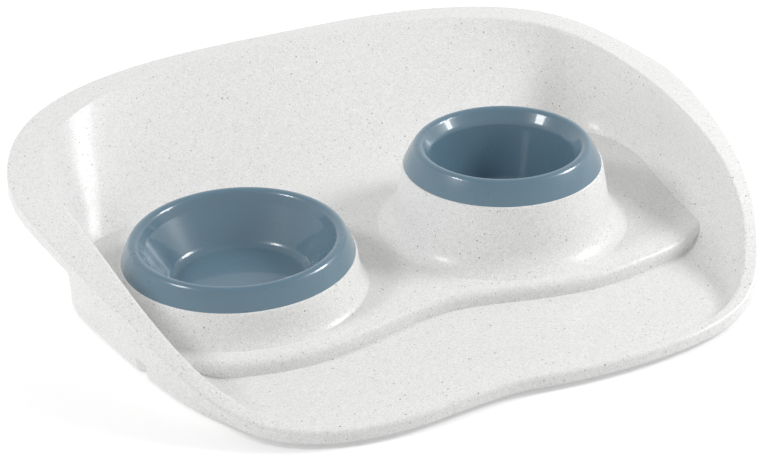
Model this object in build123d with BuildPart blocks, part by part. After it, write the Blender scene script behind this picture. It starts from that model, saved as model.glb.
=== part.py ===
"""Double pet bowl: a splash tray on four rubber pads, with a food bowl and a water bowl that lift out."""
import os
from math import hypot, sqrt

from build123d import *

os.makedirs("parts", exist_ok=True)

# Overrun of a cutting tool past the face that it opens
overrun = 6.0

# Food bowl, on the low pedestal: the rim and the floor are set in from the seam where the bowl meets the
# pedestal, and the mouth of the basin from the rim
food_seam_height = 35.6
food_seam_radius = 72.0
food_rim_inset = 9.0
food_rim_rise = 16.8
food_mouth_step = 5.5
food_mouth_rise = 5.5
food_floor_inset = 29.0
food_depth = 18.0

# Water bowl, on the high pedestal
water_seam_height = 56.0
water_seam_radius = 63.5
water_rim_inset = 10.0
water_rim_rise = 16.6
water_mouth_step = 7.5
water_mouth_rise = 6.0
water_floor_inset = 28.0
water_depth = 34.0

# Both bowls
bowl_wall = 2.4
skirt_bulge = 0.8
rim_corner_round = 4.0
mouth_round = 8.0
bowl_floor_round = 7.0

# Pedestals: the waist and the foot stand out from the seam
pedestal_ledge_margin = 0.8
pedestal_edge_round = 1.2
pedestal_ledge = 3.0
pedestal_skin = 2.6
pedestal_foot_sink = 1.0
well_clearance = 1.5
well_floor = 2.7
food_waist_flare = 2.5
food_waist_rise = 9.0
food_foot_flare = 9.0
water_waist_flare = 5.5
water_waist_rise = 15.0
water_foot_flare = 21.0

# Tray: heights above the surface that the pads stand on
pad_height = 1.5
lower_floor_height = 4.4
upper_floor_height = 14.0
front_rim_height = 12.8
tray_height = 84.0

# Tray: gaps round the bowls, which give its outline at the foot
bowl_line = -16.0
food_side_gap = 21.5
bowl_gap = 47.5
water_side_gap = 73.0
catch_depth = 91.0
rear_gap = 38.0

# Tray: wall, its lean from the foot to the tray's height, and the reach of the rim beyond it
wall = 2.6
front_lean = 11.0
back_lean = 83.0
front_flange = 6.0
side_flange = 23.5
back_flange = 20.0

# Right half of each outline, from the middle of the front to the middle of the back:
# shares of the half width and of the front reach (below zero) or the back reach (above zero)
base_shares = [(0, -0.985), (0.42, -1.0), (0.74, -0.87), (0.895, -0.58), (0.985, -0.1), (0.99, 0.47),
               (0.885, 0.77), (0.58, 0.84), (0, 0.82)]
crest_shares = [(0, -0.98), (0.42, -1.0), (0.808, -0.864), (0.945, -0.529), (0.982, -0.069), (0.991, 0.3),
                (0.941, 0.656), (0.603, 0.924), (0, 1.0)]
rim_shares = [(0, -0.98), (0.387, -0.998), (0.692, -0.872), (0.863, -0.58), (0.971, -0.08), (1.0, 0.274),
              (0.904, 0.664), (0.564, 0.932), (0, 0.976)]

# Rim: a flange that runs out from the crest of the wall, with a turned-down lip
flange_thickness = 2.6
lip_depth = 7.6
lip_thickness = 2.4
rim_round = 2.2

# Side view of the rim's top: shares of the rim's reach, then of the rise from the front rim to the tray's
# height, in the middle of the tray's width and at its sides
rim_line_shares = [(-1.08, 0, 0), (-0.89, 0, 0), (-0.675, 0.225, 0.245), (-0.45, 0.79, 0.425),
                   (0.05, 0.9, 0.72), (0.5, 1.0, 0.755), (0.88, 0.995, 0.85), (1.05, 0.965, 0.78)]

# Wavy step between the two floors, from left to right: shares of the base's half width, and of the reach of
# the food pedestal's foot in front of the bowls' middles
step_shares = [(-1.16, 0.13), (-0.955, 0.7), (-0.73, 1.04), (-0.5, 1.14), (-0.25, 1.02), (-0.03, 0.93),
               (0.16, 1.02), (0.4, 1.14), (0.62, 1.08), (0.82, 0.92), (0.955, 0.62), (1.16, 0.1)]
step_top_round_share = 0.45
step_foot_round_share = 0.4
step_sink = 0.3

# Cove between the walls and the lower floor: its radius at each outline point as a share of the largest
# one, and the heights of the walls' sections above that floor as shares of that radius
wall_cove = 36.0
wall_cove_shares = [0.14, 0.14, 0.3, 0.85, 1.0, 0.75, 0.55, 0.45, 0.45]
section_height_shares = (0, 0.15, 0.45, 1, 1.3, 1.8)

# Notch in the foot of each side wall, where the two floors meet
notch_depth = 2.5
notch_width = 6.0
notch_height = 10.0
notch_place_shares = (0.936, -0.36)

# Hollow under the upper floor
hollow_margin = 14.0
hollow_corner = 55.0
hollow_front_share = -0.45
hollow_back_share = 0.62

# Rubber pads in shallow seats under the tray
pad_radius = 9.0
pad_seat_depth = 1.0
pad_seat_clearance = 0.15
pad_edge_round = 0.6
pad_boss_margin = 3.5
front_pad_place_shares = (0.72, -0.7)
rear_pad_place_shares = (0.7, 0.48)

# Sizes and places that follow from the values above
food_mouth_inset = food_rim_inset + food_mouth_step
water_mouth_inset = water_rim_inset + water_mouth_step
food_foot = food_seam_radius + food_foot_flare
water_foot = water_seam_radius + water_foot_flare
bowls_width = 2 * food_seam_radius + bowl_gap + 2 * water_seam_radius
base_half_width = (food_side_gap + bowls_width + water_side_gap) / 2
base_front_reach = food_foot + catch_depth - bowl_line
base_back_reach = food_seam_radius + rear_gap + bowl_line
crest_half_width = base_half_width
crest_front_reach = base_front_reach + front_lean
crest_back_reach = base_back_reach + back_lean
rim_half_width = base_half_width + side_flange
rim_front_reach = base_front_reach + front_flange
rim_back_reach = crest_back_reach + back_flange
food_center = (food_side_gap + food_seam_radius - base_half_width, bowl_line)
water_center = (base_half_width - water_side_gap - water_seam_radius, bowl_line)
step_height = upper_floor_height - lower_floor_height
inner_floor_height = lower_floor_height - step_sink
loft_top = tray_height + overrun
rim_span = rim_half_width + overrun
section_heights = [lower_floor_height + share * wall_cove for share in section_height_shares] + [loft_top]
upright = (Align.CENTER, Align.CENTER, Align.MIN)


def mirrored(right_points):
    """Close an outline: the right half's points, then their mirror images from back to front."""
    left_points = [(-x, y) for x, y in reversed(right_points) if x > 0]
    return right_points + left_points


def placed(shares, half_width, front_reach, back_reach):
    """Right half of an outline, from its shares."""
    return [(x * half_width, y * (back_reach if y > 0 else front_reach)) for x, y in shares]


def wall_outline(height, insets):
    """Inner face of the wall at a height, each point drawn in by its own inset."""
    rise_share = (height - pad_height) / (tray_height - pad_height)
    low = placed(base_shares, base_half_width - wall, base_front_reach - wall, base_back_reach - wall)
    high = placed(crest_shares, crest_half_width, crest_front_reach, crest_back_reach)
    points = []
    for (x0, y0), (x1, y1), inset in zip(low, high, insets):
        x = x0 + (x1 - x0) * rise_share
        y = y0 + (y1 - y0) * rise_share
        distance = hypot(x, y)
        points.append((x - inset * x / distance, y - inset * y / distance))
    return mirrored(points)


def even(inset):
    """The same inset for every outline point."""
    return [inset] * len(base_shares)


def lofted(levels, ruled=True):
    """Solid through closed outlines, each given with its height."""
    with BuildPart() as body:
        for height, points in levels:
            with BuildSketch(Plane.XY.offset(height)):
                with BuildLine():
                    Spline(*points, periodic=True)
                make_face()
        loft(ruled=ruled)
    return body.part


def wall_body(inset):
    """The tray's tapering form, from its foot to above its rim, drawn in from the wall's inner face."""
    heights = (pad_height, *section_heights[1:])
    return lofted([(height, wall_outline(height, even(inset))) for height in heights], ruled=False)


def rim_prism(inset):
    """Upright body with the outline of the rim."""
    reaches = (rim_half_width - inset, rim_front_reach - inset, rim_back_reach - inset)
    points = mirrored(placed(rim_shares, *reaches))
    return lofted([(0, points), (loft_top, points)])


def rim_line(column, drop):
    """Side view of the rim's top, lowered by a drop: column 1 is in the tray's middle, 2 at its sides."""
    rise = tray_height - front_rim_height
    line = []
    for row in rim_line_shares:
        reach = rim_back_reach if row[0] > 0 else rim_front_reach
        line.append((row[0] * reach, front_rim_height + row[column] * rise - drop))
    return line


def above_rim(drop):
    """Everything above the rim's top, lowered by a drop; the top sinks from the middle to the sides."""
    ceiling = loft_top + overrun
    with BuildPart() as body:
        for place, column in ((-rim_span, 2), (0, 1), (rim_span, 2)):
            line = rim_line(column, drop)
            with BuildSketch(Plane.YZ.offset(place)):
                with BuildLine():
                    Spline(*line)
                    Polyline(line[-1], (line[-1][0], ceiling), (line[0][0], ceiling), line[0])
                make_face()
        loft()
    return body.part


def behind_step(low, high):
    """Everything behind the wavy step between two heights."""
    line = [(x * base_half_width, bowl_line - y * food_foot) for x, y in step_shares]
    with BuildPart() as body:
        with BuildSketch(Plane.XY.offset(low)):
            with BuildLine():
                Spline(*line)
                Polyline(line[-1], (line[-1][0], rim_back_reach), (line[0][0], rim_back_reach), line[0])
            make_face()
        extrude(amount=high - low)
    return body.part


def cove_reach(radius, rise):
    """Reach of a cove of a radius from its wall, at a rise above its foot."""
    left = max(radius - rise, 0)
    return radius - sqrt(radius ** 2 - left ** 2)


def cavity():
    """Space inside the walls, down to the lower floor, with a cove round it."""
    levels = []
    for height in section_heights:
        rise = height - lower_floor_height
        insets = [cove_reach(share * wall_cove, rise) for share in wall_cove_shares]
        levels.append((height, wall_outline(height, insets)))
    return lofted(levels, ruled=False)


def rim():
    """Plate under the rim's top with a turned-down lip at its edge; the cavity opens its middle later."""
    with BuildPart() as undercut:
        add(rim_prism(lip_thickness))
        add(above_rim(flange_thickness), mode=Mode.SUBTRACT)
    with BuildPart() as body:
        add(rim_prism(0))
        add(above_rim(lip_depth), mode=Mode.INTERSECT)
        add(undercut.part, mode=Mode.SUBTRACT)
    return body.part


def longest(edges):
    """The longest of some edges."""
    return edges.sort_by(SortBy.LENGTH)[-1]


def floors():
    """Lower floor and raised upper floor, with the wavy step between them rounded at its foot and top."""
    with BuildPart() as body:
        with BuildSketch(Plane.XY.offset(pad_height)):
            Rectangle(2 * base_half_width, 2 * crest_front_reach)
        extrude(amount=inner_floor_height - pad_height)
        add(behind_step(pad_height, upper_floor_height))
        step_levels = body.edges().filter_by(GeomType.BSPLINE).group_by(Axis.Z)
        fillet(longest(step_levels[1]), step_foot_round_share * step_height)
        step_levels = body.edges().filter_by(GeomType.BSPLINE).group_by(Axis.Z)
        fillet(longest(step_levels[-1]), step_top_round_share * step_height)
    return body.part


def pedestal(center, seam_height, seam_radius, waist_flare, waist_rise, foot):
    """Turned body of a pedestal: a tapering side that flares into the upper floor."""
    top_radius = seam_radius + pedestal_ledge_margin
    waist = seam_radius + waist_flare
    foot_height = upper_floor_height - pedestal_foot_sink
    waist_height = upper_floor_height + waist_rise
    with BuildPart() as body:
        with BuildSketch(Plane.XZ):
            with BuildLine():
                edge = Line((0, seam_height), (top_radius, seam_height))
                side = Line(edge @ 1, (waist, waist_height))
                flare = TangentArc(side @ 1, (foot, foot_height), tangent=side % 1)
                Polyline(flare @ 1, (0, foot_height), (0, seam_height))
            make_face()
        revolve(axis=Axis.Z)
        fillet(body.edges().group_by(Axis.Z)[-1], pedestal_edge_round)
    return Pos(*center) * body.part


def turned(center, points):
    """Body of revolution from corner points of radius and height, placed at a center."""
    with BuildPart() as body:
        with BuildSketch(Plane.XZ):
            with BuildLine():
                Polyline(*points, close=True)
            make_face()
        revolve(axis=Axis.Z)
    return Pos(*center) * body.part


def well_radius(seam_radius, mouth_inset):
    """Bore of a pedestal's well: it clears the bowl's basin where the bowl passes the ledge."""
    return seam_radius - mouth_inset + bowl_wall + well_clearance


def pedestal_hollow(center, seam_height, seam_radius, waist_flare, waist_rise):
    """Space under a pedestal, inside its skin."""
    ceiling = seam_height - pedestal_ledge
    top_radius = seam_radius + pedestal_ledge_margin - pedestal_skin
    low_radius = seam_radius + waist_flare - pedestal_skin
    waist_height = upper_floor_height + waist_rise
    corners = [(0, 0), (low_radius, 0), (low_radius, waist_height), (top_radius, ceiling), (0, ceiling)]
    return turned(center, corners)


def pad_places():
    """Middle of each pad, by name."""
    front_x, front_y = front_pad_place_shares
    rear_x, rear_y = rear_pad_place_shares
    places = {}
    for side, sign in (("left", -1), ("right", 1)):
        places["foot_front_" + side] = (sign * front_x * base_half_width, front_y * base_front_reach)
        places["foot_rear_" + side] = (sign * rear_x * base_half_width, rear_y * base_back_reach)
    return places


def room():
    """Space inside the walls, above the floors and round the pedestals."""
    with BuildPart() as body:
        add(cavity())
        add(floors(), mode=Mode.SUBTRACT)
        add(pedestal(*food, food_foot), mode=Mode.SUBTRACT)
        add(pedestal(*water, water_foot), mode=Mode.SUBTRACT)
    return body.part


def shell():
    """Walls, rim, floors and pedestals, with the two edges of the rim's top face rounded."""
    with BuildPart() as body:
        add(wall_body(-wall))
        add(rim())
        add(above_rim(0), mode=Mode.SUBTRACT)
        add(room(), mode=Mode.SUBTRACT)
        top = body.faces().sort_by(lambda face: face.bounding_box().max.Z + face.normal_at().Z)[-1]
        fillet(top.edges(), rim_round)
    return body.part


def underside():
    """Hollow under the upper floor and the pedestals, round the tubes of the wells and the pads' bosses."""
    front = hollow_front_share * base_front_reach
    back = hollow_back_share * base_back_reach
    with BuildPart() as body:
        with BuildSketch(Plane.XY):
            with Locations((0, (front + back) / 2)):
                RectangleRounded(2 * (base_half_width - hollow_margin), back - front, hollow_corner)
        extrude(amount=upper_floor_height - wall)
        add(pedestal_hollow(*food))
        add(pedestal_hollow(*water))
        for center, radius in wells:
            with Locations(center):
                Cylinder(radius + pedestal_skin, tray_height, align=upright, mode=Mode.SUBTRACT)
        with Locations(*pad_places().values()):
            Cylinder(pad_radius + pad_boss_margin, tray_height, align=upright, mode=Mode.SUBTRACT)
    return body.part


def notches():
    """Wedges that cut the notch in the foot of each side wall."""
    x_share, y_share = notch_place_shares
    face_x = x_share * base_half_width
    middle_y = y_share * base_front_reach
    outer_x = face_x + overrun
    half = notch_width / 2 * (notch_depth + overrun) / notch_depth
    with BuildPart() as body:
        with BuildSketch(Plane.XY):
            with BuildLine():
                tip = (face_x - notch_depth, middle_y)
                Polyline(tip, (outer_x, middle_y + half), (outer_x, middle_y - half), close=True)
            make_face()
            mirror(about=Plane.YZ)
        extrude(amount=notch_height)
    return body.part


def bowl(center, seam_height, seam_radius, rim, mouth, floor_inset, depth):
    """Turned bowl of one wall thickness: a leaning skirt, a rounded rim and a basin hanging inside it."""
    rim_inset, rim_rise = rim
    mouth_inset, mouth_rise = mouth
    corner = (seam_radius - rim_inset, rim_rise)
    with BuildPart() as body:
        with BuildSketch(Plane.XZ):
            with BuildLine():
                skirt = SagittaArc((seam_radius, 0), corner, -skirt_bulge)
                slope = Line(skirt @ 1, (seam_radius - mouth_inset, mouth_rise))
                basin = Line(slope @ 1, (seam_radius - floor_inset, -depth))
                Line(basin @ 1, (0, -depth))
                corners = (slope @ 0, basin @ 0, basin @ 1)
                for point, radius in zip(corners, (rim_corner_round, mouth_round, bowl_floor_round)):
                    fillet(vertices().sort_by_distance(point)[0], radius)
                offset(amount=bowl_wall, side=Side.LEFT)
            make_face()
            with Locations((seam_radius, 0)):
                Rectangle(2 * rim_inset, bowl_wall, align=(Align.CENTER, Align.MAX), mode=Mode.SUBTRACT)
        revolve(axis=Axis.Z)
    return Pos(*center, seam_height) * body.part


def pad(place):
    """Round rubber pad that stands below the tray and reaches up into its seat."""
    with BuildPart() as body:
        with Locations(place):
            Cylinder(pad_radius, pad_height + pad_seat_depth, align=upright)
        fillet(body.edges().sort_by(Axis.Z)[0], pad_edge_round)
    return body.part


food = (food_center, food_seam_height, food_seam_radius, food_waist_flare, food_waist_rise)
water = (water_center, water_seam_height, water_seam_radius, water_waist_flare, water_waist_rise)
wells = ((food_center, well_radius(food_seam_radius, food_mouth_inset)),
         (water_center, well_radius(water_seam_radius, water_mouth_inset)))

# Tray
with BuildPart() as tray:
    add(shell())
    add(underside(), mode=Mode.SUBTRACT)
    add(notches(), mode=Mode.SUBTRACT)
    for center, radius in wells:
        with Locations((*center, pad_height + well_floor)):
            Cylinder(radius, tray_height, align=upright, mode=Mode.SUBTRACT)
    with Locations(*pad_places().values()):
        Cylinder(pad_radius + pad_seat_clearance, pad_height + pad_seat_depth, align=upright,
                 mode=Mode.SUBTRACT)
tray.part.label = "tray"
export_step(tray.part, "parts/tray.step")

# Bowls
with BuildPart() as food_bowl:
    add(bowl(food_center, food_seam_height, food_seam_radius, (food_rim_inset, food_rim_rise),
             (food_mouth_inset, food_mouth_rise), food_floor_inset, food_depth))
food_bowl.part.label = "food_bowl"
export_step(food_bowl.part, "parts/food_bowl.step")

with BuildPart() as water_bowl:
    add(bowl(water_center, water_seam_height, water_seam_radius, (water_rim_inset, water_rim_rise),
             (water_mouth_inset, water_mouth_rise), water_floor_inset, water_depth))
water_bowl.part.label = "water_bowl"
export_step(water_bowl.part, "parts/water_bowl.step")

# Pads
for name, place in pad_places().items():
    with BuildPart() as foot:
        add(pad(place))
    foot.part.label = name
    export_step(foot.part, "parts/" + name + ".step")
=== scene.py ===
"""Looks of the double pet bowl: speckled off-white tray and glossy blue-grey bowls in soft studio light."""
from math import cos, radians, sin

import bpy
from mathutils import Matrix, Vector

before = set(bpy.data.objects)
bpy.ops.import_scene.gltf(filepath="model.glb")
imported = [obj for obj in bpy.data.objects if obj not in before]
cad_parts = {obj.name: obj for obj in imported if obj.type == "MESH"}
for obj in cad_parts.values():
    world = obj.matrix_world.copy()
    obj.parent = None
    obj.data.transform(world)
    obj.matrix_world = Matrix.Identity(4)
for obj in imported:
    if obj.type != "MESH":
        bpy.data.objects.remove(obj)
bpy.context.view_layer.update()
scene = bpy.context.scene
scene.view_settings.view_transform = "Standard"

# Colours, as linear light
WHITE = (1, 1, 1, 1)
TRAY_PALE = (0.94, 0.94, 0.93, 1)
TRAY_DIM = (0.75, 0.75, 0.74, 1)
GRAIN_GREY = (0.50, 0.50, 0.49, 1)
GRAIN_DARK = (0.20, 0.20, 0.19, 1)
BOWL_BLUE = (0.138, 0.232, 0.302, 1)
BOWL_DEEP = (0.120, 0.210, 0.276, 1)
PAD_GREY = (0.30, 0.30, 0.30, 1)
PAD_DUST = (0.40, 0.40, 0.39, 1)
FLOOR_WHITE = (0.90, 0.90, 0.90, 1)

# Speckles of the tray: cells to the metre, a grain's radius in cells, the share of cells with a grain
FLECK_CELLS = 1600.0
GREY_GRAIN_CELLS, GREY_GRAIN_RADIUS, GREY_GRAIN_SHARE = 520.0, 0.30, 0.25
DARK_GRAIN_CELLS, DARK_GRAIN_RADIUS, DARK_GRAIN_SHARE = 240.0, 0.16, 0.35
GRAIN_CORE = 0.6  # share of a grain's radius that has its full colour

# Colour drift of the bowls and dust of the pads: waves to the metre, and steps of finer detail
BOWL_DRIFT_WAVES, BOWL_DRIFT_DETAIL = 22.0, 3.0
PAD_DUST_WAVES, PAD_DUST_DETAIL = 220.0, 4.0
PLAIN_DETAIL = 2.0
NOISE_LOW, NOISE_HIGH = 0.3, 0.7  # the range that most of the noise lies in

# Roughness: waves to the metre, and the smooth and rough ends
TRAY_SHEEN = (60.0, 0.42, 0.50)
BOWL_SHEEN = (45.0, 0.26, 0.32)
PAD_SHEEN = (400.0, 0.75, 0.90)

# Clear gloss over the plastics: weight and roughness
TRAY_COAT = (0.3, 0.18)
BOWL_COAT = (0.6, 0.05)

# Fine relief: waves to the metre, strength, and height in metres
TRAY_RELIEF = (900.0, 0.05, 0.0004)
BOWL_RELIEF = (120.0, 0.02, 0.0005)
PAD_RELIEF = (1600.0, 0.2, 0.0003)


def new_material(name):
    """Node material with its tree and its shader."""
    material = bpy.data.materials.new(name)
    material.use_nodes = True
    tree = material.node_tree
    return material, tree, tree.nodes["Principled BSDF"]


def add_node(tree, kind, **sockets):
    """Node of a kind, with input values by socket name."""
    node = tree.nodes.new(kind)
    for socket, value in sockets.items():
        node.inputs[socket].default_value = value
    return node


def object_place(tree):
    """Place on the object, in metres, that the patterns follow."""
    return tree.nodes.new("ShaderNodeTexCoord").outputs["Object"]


def blend_colour(tree, share, low, high):
    """Colour that goes from low to high with a share; each colour is a value or a socket."""
    node = tree.nodes.new("ShaderNodeMix")
    node.data_type = "RGBA"
    tree.links.new(share, node.inputs["Factor"])
    for socket, colour in (("A", low), ("B", high)):
        target = [entry for entry in node.inputs if entry.name == socket and entry.type == "RGBA"][0]
        if isinstance(colour, tuple):
            target.default_value = colour
        else:
            tree.links.new(colour, target)
    return [entry for entry in node.outputs if entry.type == "RGBA"][0]


def remap(tree, value, low, high, to_low, to_high):
    """Value mapped from one range to another, kept inside it; each end is a number or a socket."""
    node = tree.nodes.new("ShaderNodeMapRange")
    tree.links.new(value, node.inputs["Value"])
    for socket, end in (("From Min", low), ("From Max", high), ("To Min", to_low), ("To Max", to_high)):
        if isinstance(end, float):
            node.inputs[socket].default_value = end
        else:
            tree.links.new(end, node.inputs[socket])
    return node.outputs["Result"]


def combine(tree, operation, first, second):
    """Sum, product or larger one of two values."""
    node = tree.nodes.new("ShaderNodeMath")
    node.operation = operation
    tree.links.new(first, node.inputs[0])
    tree.links.new(second, node.inputs[1])
    return node.outputs["Value"]


def noise(tree, place, waves, detail=PLAIN_DETAIL):
    """Soft noise over the object, in waves to the metre."""
    node = add_node(tree, "ShaderNodeTexNoise", Scale=waves, Detail=detail)
    tree.links.new(place, node.inputs["Vector"])
    return node.outputs["Fac"]


def cells(tree, place, density):
    """Cells packed at random, so many to the metre: distance from a cell's middle, and a chance value."""
    node = add_node(tree, "ShaderNodeTexVoronoi", Scale=density)
    tree.links.new(place, node.inputs["Vector"])
    split = tree.nodes.new("ShaderNodeSeparateColor")
    tree.links.new(node.outputs["Color"], split.inputs["Color"])
    return node.outputs["Distance"], split.outputs["Red"]


def flecks(tree, place, density):
    """Chance value of each cell, for a mottled colour."""
    return cells(tree, place, density)[1]


def grains(tree, place, density, radius, kept_share):
    """Mask of scattered grains: one in each cell that is kept, with soft edges."""
    distance, chance = cells(tree, place, density)
    spot = remap(tree, distance, radius * GRAIN_CORE, radius, 1.0, 0.0)
    kept = remap(tree, chance, 1 - kept_share, 1.0, 0.0, 1.0)
    return combine(tree, "MULTIPLY", spot, kept)


def sheen(tree, shader, place, waves, smooth, rough):
    """Roughness that drifts between two values over the object."""
    drift = remap(tree, noise(tree, place, waves), NOISE_LOW, NOISE_HIGH, smooth, rough)
    tree.links.new(drift, shader.inputs["Roughness"])


def coat(shader, weight, roughness):
    """Thin clear gloss over a shader."""
    shader.inputs["Coat Weight"].default_value = weight
    shader.inputs["Coat Roughness"].default_value = roughness


def relief(tree, shader, place, waves, strength, height):
    """Fine relief on a shader."""
    node = add_node(tree, "ShaderNodeBump", Strength=strength, Distance=height)
    tree.links.new(noise(tree, place, waves), node.inputs["Height"])
    tree.links.new(node.outputs["Normal"], shader.inputs["Normal"])


def tray_plastic():
    """Satin off-white plastic, mottled with pale and dim flecks and scattered grey and dark grains."""
    material, tree, shader = new_material("tray_plastic")
    place = object_place(tree)
    grey = grains(tree, place, GREY_GRAIN_CELLS, GREY_GRAIN_RADIUS, GREY_GRAIN_SHARE)
    dark = grains(tree, place, DARK_GRAIN_CELLS, DARK_GRAIN_RADIUS, DARK_GRAIN_SHARE)
    colour = blend_colour(tree, flecks(tree, place, FLECK_CELLS), TRAY_DIM, TRAY_PALE)
    colour = blend_colour(tree, grey, colour, GRAIN_GREY)
    colour = blend_colour(tree, dark, colour, GRAIN_DARK)
    tree.links.new(colour, shader.inputs["Base Color"])
    sheen(tree, shader, place, *TRAY_SHEEN)
    coat(shader, *TRAY_COAT)
    relief(tree, shader, place, *TRAY_RELIEF)
    return material


def bowl_plastic():
    """Glossy blue-grey plastic with a faint flow of colour."""
    material, tree, shader = new_material("bowl_plastic")
    place = object_place(tree)
    drift = noise(tree, place, BOWL_DRIFT_WAVES, BOWL_DRIFT_DETAIL)
    tree.links.new(blend_colour(tree, drift, BOWL_DEEP, BOWL_BLUE), shader.inputs["Base Color"])
    sheen(tree, shader, place, *BOWL_SHEEN)
    coat(shader, *BOWL_COAT)
    relief(tree, shader, place, *BOWL_RELIEF)
    return material


def pad_rubber():
    """Matt grey rubber with a dusty bloom."""
    material, tree, shader = new_material("foot_rubber")
    place = object_place(tree)
    dust = noise(tree, place, PAD_DUST_WAVES, PAD_DUST_DETAIL)
    tree.links.new(blend_colour(tree, dust, PAD_GREY, PAD_DUST), shader.inputs["Base Color"])
    sheen(tree, shader, place, *PAD_SHEEN)
    relief(tree, shader, place, *PAD_RELIEF)
    return material


def dress(material, nodes):
    """Give CAD nodes a material in place of their plain one."""
    for name in nodes:
        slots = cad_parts[name].data.materials
        slots.clear()
        slots.append(material)


def seen_strength(tree, unseen, seen):
    """Strength that is set where the camera, a reflection or a clear part shows the surface."""
    path = tree.nodes.new("ShaderNodeLightPath")
    shown = combine(tree, "ADD", path.outputs["Is Camera Ray"], path.outputs["Is Glossy Ray"])
    shown = combine(tree, "ADD", shown, path.outputs["Is Transmission Ray"])
    return remap(tree, shown, 0.0, 1.0, unseen, seen)


def direction(azimuth, elevation):
    """Unit vector from the object towards a place on the sky; azimuth 0 is in front of it."""
    turn, rise = radians(azimuth), radians(elevation)
    return Vector((sin(turn) * cos(rise), -cos(turn) * cos(rise), sin(rise)))


def softbox(name, azimuth, elevation, width, height, watts):
    """Rectangular studio light that faces the object."""
    lamp = bpy.data.lights.new(name, "AREA")
    lamp.shape = "RECTANGLE"
    lamp.size = width
    lamp.size_y = height
    lamp.energy = watts
    light = bpy.data.objects.new(name, lamp)
    away = direction(azimuth, elevation)
    light.location = LIGHT_AIM + away * LIGHT_DISTANCE
    light.rotation_euler = away.to_track_quat("Z", "Y").to_euler()
    scene.collection.objects.link(light)


dress(tray_plastic(), ["tray"])
dress(bowl_plastic(), ["food_bowl", "water_bowl"])
dress(pad_rubber(), ["foot_front_left", "foot_front_right", "foot_rear_left", "foot_rear_right"])

# Floor and backdrop: the glow makes up for what the lights leave short of white
FLOOR_SPAN = 8.0
FLOOR_ROUGHNESS = 0.9
FLOOR_GLOW = 0.29
bpy.ops.mesh.primitive_plane_add(size=FLOOR_SPAN)
floor = bpy.context.object
floor.name = "studio_floor"
floor_material, floor_tree, floor_shader = new_material("studio_floor")
floor_shader.inputs["Base Color"].default_value = FLOOR_WHITE
floor_shader.inputs["Roughness"].default_value = FLOOR_ROUGHNESS
floor_shader.inputs["Emission Color"].default_value = WHITE
glow = seen_strength(floor_tree, 0.0, FLOOR_GLOW)
floor_tree.links.new(glow, floor_shader.inputs["Emission Strength"])
floor.data.materials.append(floor_material)

# World: white where the camera sees it, with less light from the front and from the ceiling
FRONT_LIGHT = 0.66
BACK_LIGHT = 1.35
CEILING_SHARE = 0.32
world = bpy.data.worlds.new("studio")
scene.world = world
world.use_nodes = True
world_tree = world.node_tree
sky = world_tree.nodes["Background"]
sky.inputs["Color"].default_value = WHITE
sky_place = world_tree.nodes.new("ShaderNodeTexCoord").outputs["Generated"]
compass = world_tree.nodes.new("ShaderNodeSeparateXYZ")
world_tree.links.new(sky_place, compass.inputs["Vector"])
shade = remap(world_tree, compass.outputs["Z"], 0.0, 1.0, 1.0, CEILING_SHARE)
camera_ray = world_tree.nodes.new("ShaderNodeLightPath").outputs["Is Camera Ray"]
shade = combine(world_tree, "MAXIMUM", shade, camera_ray)
light_level = remap(world_tree, compass.outputs["Y"], -1.0, 1.0, FRONT_LIGHT, BACK_LIGHT)
brightness = combine(world_tree, "MULTIPLY", seen_strength(world_tree, light_level, 1.0), shade)
world_tree.links.new(brightness, sky.inputs["Strength"])

# Lights: a key on the right and a smaller one on the left
LIGHT_AIM = Vector((-0.02, -0.02, 0.03))
LIGHT_DISTANCE = 1.5
softbox("key_softbox", azimuth=74.0, elevation=34.0, width=0.50, height=0.40, watts=11.0)
softbox("left_softbox", azimuth=-95.0, elevation=43.0, width=0.30, height=0.30, watts=6.0)

# Camera, as fitted to the photograph
FOCAL_PIXELS = 2001.94
IMAGE_WIDTH = 770
CAMERA_AIM = Vector((-0.01767, -0.02406, 0.0282))
CAMERA_DISTANCE = 1.2594
CAMERA_AZIMUTH = -24.48
CAMERA_ELEVATION = 28.47
CAMERA_ROLL = -1.62
lens = bpy.data.cameras.new("camera")
lens.sensor_fit = "HORIZONTAL"
lens.lens = FOCAL_PIXELS / IMAGE_WIDTH * lens.sensor_width
camera = bpy.data.objects.new("camera", lens)
away = direction(CAMERA_AZIMUTH, CAMERA_ELEVATION)
level = Vector((cos(radians(CAMERA_AZIMUTH)), sin(radians(CAMERA_AZIMUTH)), 0))
turn = Matrix.Rotation(radians(CAMERA_ROLL), 3, away)
axes = (turn @ level, turn @ away.cross(level), away)
pose = Matrix(axes).transposed().to_4x4()
pose.translation = CAMERA_AIM + away * CAMERA_DISTANCE
camera.matrix_world = pose
scene.collection.objects.link(camera)
scene.camera = camera
